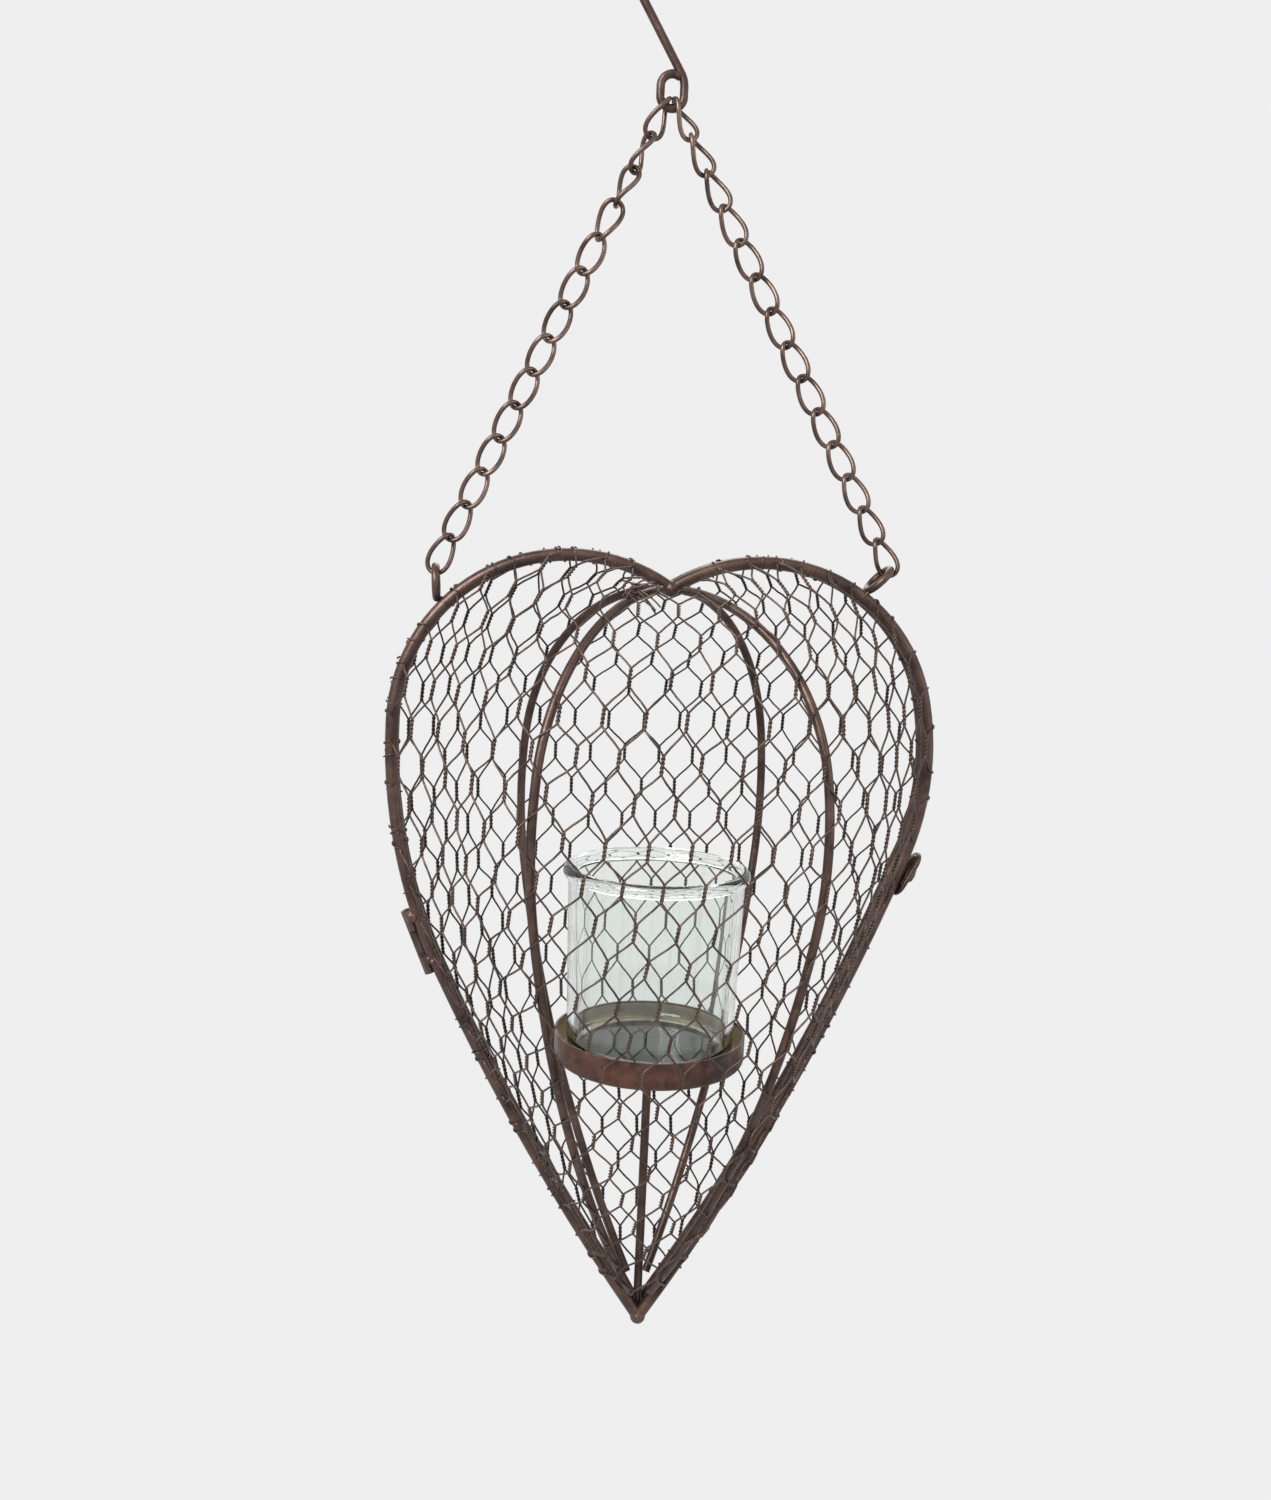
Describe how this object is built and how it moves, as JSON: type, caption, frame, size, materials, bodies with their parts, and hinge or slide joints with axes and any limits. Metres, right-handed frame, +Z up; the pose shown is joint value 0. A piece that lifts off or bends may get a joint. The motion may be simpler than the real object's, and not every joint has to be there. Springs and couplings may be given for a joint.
{
  "type": "hanging candle holder",
  "caption": "Hanging lantern: a puffed heart of bent rod and hexagonal netting, its front half a hinged door, with a jar on a stemmed dish inside, hung from chains and a hook",
  "frame": {"origin": "Seat of the hook: the inner top of its upper bend, where it bears on what it hangs from", "axes": "+Z up, +Y towards the back, +X to the right as seen from the door side, which faces -Y"},
  "size_m": [0.217, 0.1416, 0.5688],
  "materials": {
    "dark_rod": "dark brown mill finish, satin, with rust speckle",
    "chain_wire": "dark brown, satin, rubbed on the bearing faces",
    "netting_wire": "dark brown, satin, with rust on the twists",
    "pin_steel": "dark brown, slightly worn",
    "dish_sheet": "rust brown sheet, satin, olive grey inside",
    "jar_glass": "clear blown glass with a faint green tint"
  },
  "bodies": {
    "hook": {"hanging_hook": "dark_rod"},
    "lantern": {"chain_left_link_01": "chain_wire", "chain_left_link_02": "chain_wire", "chain_left_link_03": "chain_wire", "chain_left_link_04": "chain_wire", "chain_left_link_05": "chain_wire", "chain_left_link_06": "chain_wire", "chain_left_link_07": "chain_wire", "chain_left_link_08": "chain_wire", "chain_left_link_09": "chain_wire", "chain_left_link_10": "chain_wire", "chain_left_link_11": "chain_wire", "chain_left_link_12": "chain_wire", "chain_left_link_13": "chain_wire", "chain_left_link_14": "chain_wire", "chain_right_link_01": "chain_wire", "chain_right_link_02": "chain_wire", "chain_right_link_03": "chain_wire", "chain_right_link_04": "chain_wire", "chain_right_link_05": "chain_wire", "chain_right_link_06": "chain_wire", "chain_right_link_07": "chain_wire", "chain_right_link_08": "chain_wire", "chain_right_link_09": "chain_wire", "chain_right_link_10": "chain_wire", "chain_right_link_11": "chain_wire", "chain_right_link_12": "chain_wire", "chain_right_link_13": "chain_wire", "chain_right_link_14": "chain_wire", "ring_left": "dark_rod", "ring_right": "dark_rod", "back_frame": "dark_rod", "back_rib_left": "dark_rod", "back_rib_right": "dark_rod", "back_netting": "netting_wire", "stem": "dark_rod", "candle_dish": "dish_sheet", "glass_jar": "jar_glass", "hinge_middle_knuckle": "dark_rod", "hinge_pin": "pin_steel", "snap_catch": "dark_rod"},
    "door": {"front_frame": "dark_rod", "front_rib_left": "dark_rod", "front_rib_right": "dark_rod", "front_netting": "netting_wire", "hinge_upper_knuckle": "dark_rod", "hinge_lower_knuckle": "dark_rod"}
  },
  "joints": [
    {"name": "lantern_swing", "type": "hinge", "parent": "hook", "child": "lantern", "pos_m": [-0.00775, 0, -0.08415], "axis": [1, 0, 0], "range_deg": [-40, 40]},
    {"name": "door_hinge", "type": "hinge", "parent": "lantern", "child": "door", "pos_m": [-0.09374, 0, -0.40376], "axis": [0.3713, 0, -0.9285], "range_deg": [0, 120]}
  ]
}
